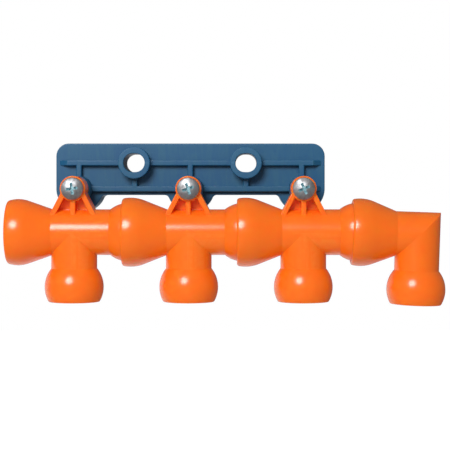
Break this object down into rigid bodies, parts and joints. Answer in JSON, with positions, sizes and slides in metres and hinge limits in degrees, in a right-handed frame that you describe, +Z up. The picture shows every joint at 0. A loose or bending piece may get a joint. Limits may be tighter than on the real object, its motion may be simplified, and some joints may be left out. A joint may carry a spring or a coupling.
{
  "type": "modular hose coolant manifold",
  "caption": "Coolant header line of ball-and-socket hose tees and a mitred swivel elbow, screwed by ears to a ribbed mounting bracket.",
  "frame": {"origin": "midway between the two mounting slots, on the mounting surface behind the bracket", "axes": "+X along the line towards the elbow, +Y into the mounting surface, +Z up"},
  "size_m": [0.1741, 0.0467, 0.065],
  "materials": {
    "hose_plastic": "smooth moulded acetal with a soft gloss",
    "bracket_plastic": "satin moulded acetal with faint flow marks",
    "zinc_steel": "bright zinc plate"
  },
  "bodies": {
    "manifold": {"bracket": "bracket_plastic", "tee_1": "hose_plastic", "tee_2": "hose_plastic", "tee_3": "hose_plastic", "screw_1": "zinc_steel", "screw_2": "zinc_steel", "screw_3": "zinc_steel"},
    "elbow": {"elbow": "hose_plastic"}
  },
  "joints": [
    {"name": "elbow_swivel", "type": "hinge", "parent": "manifold", "child": "elbow", "pos_m": [0.06736, -0.033, -0.0279], "axis": [0.9994, 0, -0.0349], "continuous": true}
  ]
}
